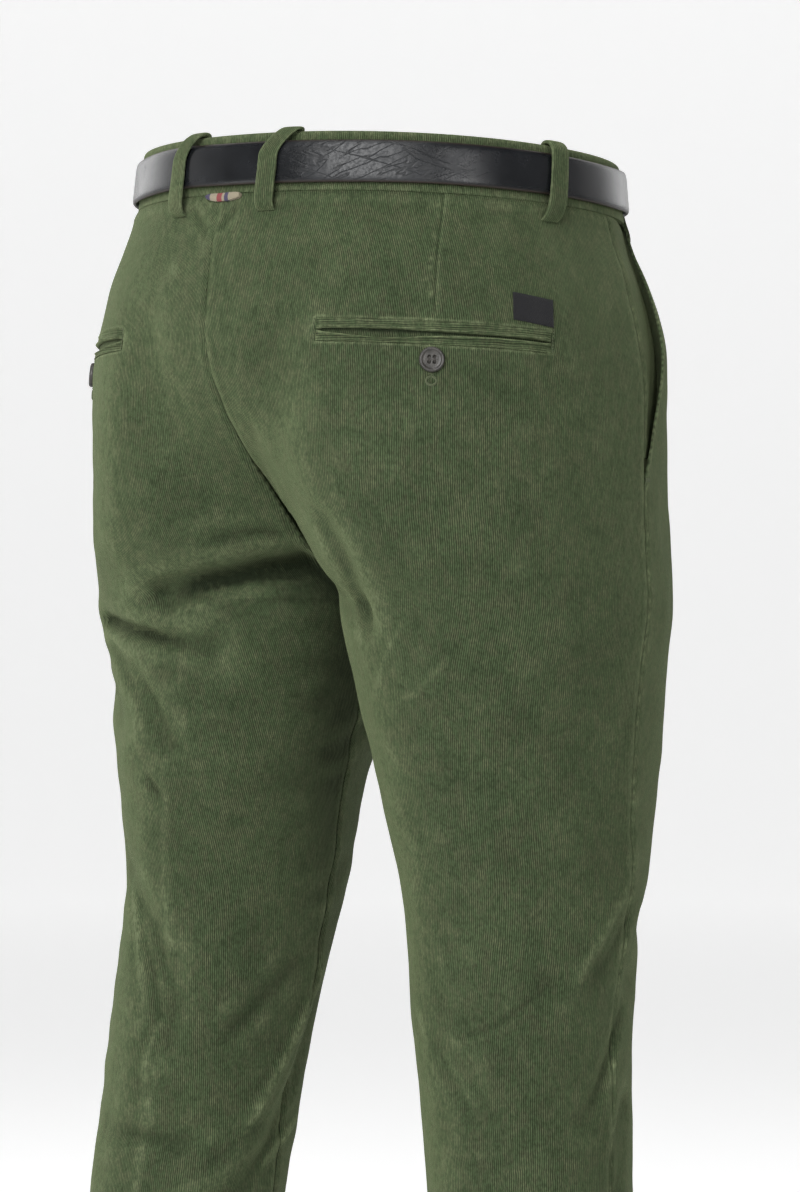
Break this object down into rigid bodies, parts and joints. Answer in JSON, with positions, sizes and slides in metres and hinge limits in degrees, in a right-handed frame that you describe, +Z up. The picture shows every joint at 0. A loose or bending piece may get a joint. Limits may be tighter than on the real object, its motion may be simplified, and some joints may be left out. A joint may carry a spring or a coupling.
{
  "type": "corduroy trousers with belt",
  "caption": "Worn fine-wale corduroy trousers, hollow and in a standing pose, with welt back pockets, slanted side pockets and a leather belt in their loops.",
  "frame": {"origin": "centre of the waist opening, level with its top edge at the sides", "axes": "+Z up, the front faces -Y, the wearer's left is +X"},
  "size_m": [0.4057, 0.2895, 1.0114],
  "materials": {
    "cord_green": "worn velvety needlecord with fine vertical wales",
    "cord_inside": "needlecord, shaded inside the pocket mouth and the fly",
    "belt_leather": "worn smooth black leather with soft wrinkles",
    "buckle_metal": "dull metal with fine scratches",
    "slider_brass": "dull brass",
    "button_horn": "satin dark horn",
    "label_black": "bare black woven label",
    "ribbon_stripes": "ribbed woven ribbon with plain stripes",
    "zip_tape_green": "woven zip tape"
  },
  "bodies": {
    "root": {"back_left": "cord_green", "back_right": "cord_green", "front_left": "cord_green", "front_right": "cord_green", "waistband_left": "cord_green", "waistband_right": "cord_green", "pocket_facing_left": "cord_inside", "pocket_facing_right": "cord_inside", "pocket_welt_upper_left": "cord_green", "pocket_welt_upper_right": "cord_green", "pocket_welt_lower_left": "cord_green", "pocket_welt_lower_right": "cord_green", "pocket_button_left": "button_horn", "pocket_button_right": "button_horn", "belt_loop_back_left": "cord_green", "belt_loop_back_right": "cord_green", "belt_loop_side_left": "cord_green", "belt_loop_side_right": "cord_green", "belt_loop_front_left": "cord_green", "belt_loop_front_right": "cord_green", "label": "label_black", "ribbon_tab": "ribbon_stripes", "belt_strap": "belt_leather", "belt_keeper": "belt_leather", "belt_buckle": "buckle_metal", "belt_prong": "buckle_metal", "zip_tape": "zip_tape_green", "zip_slider": "slider_brass", "fly_guard": "cord_inside"}
  },
  "joints": []
}
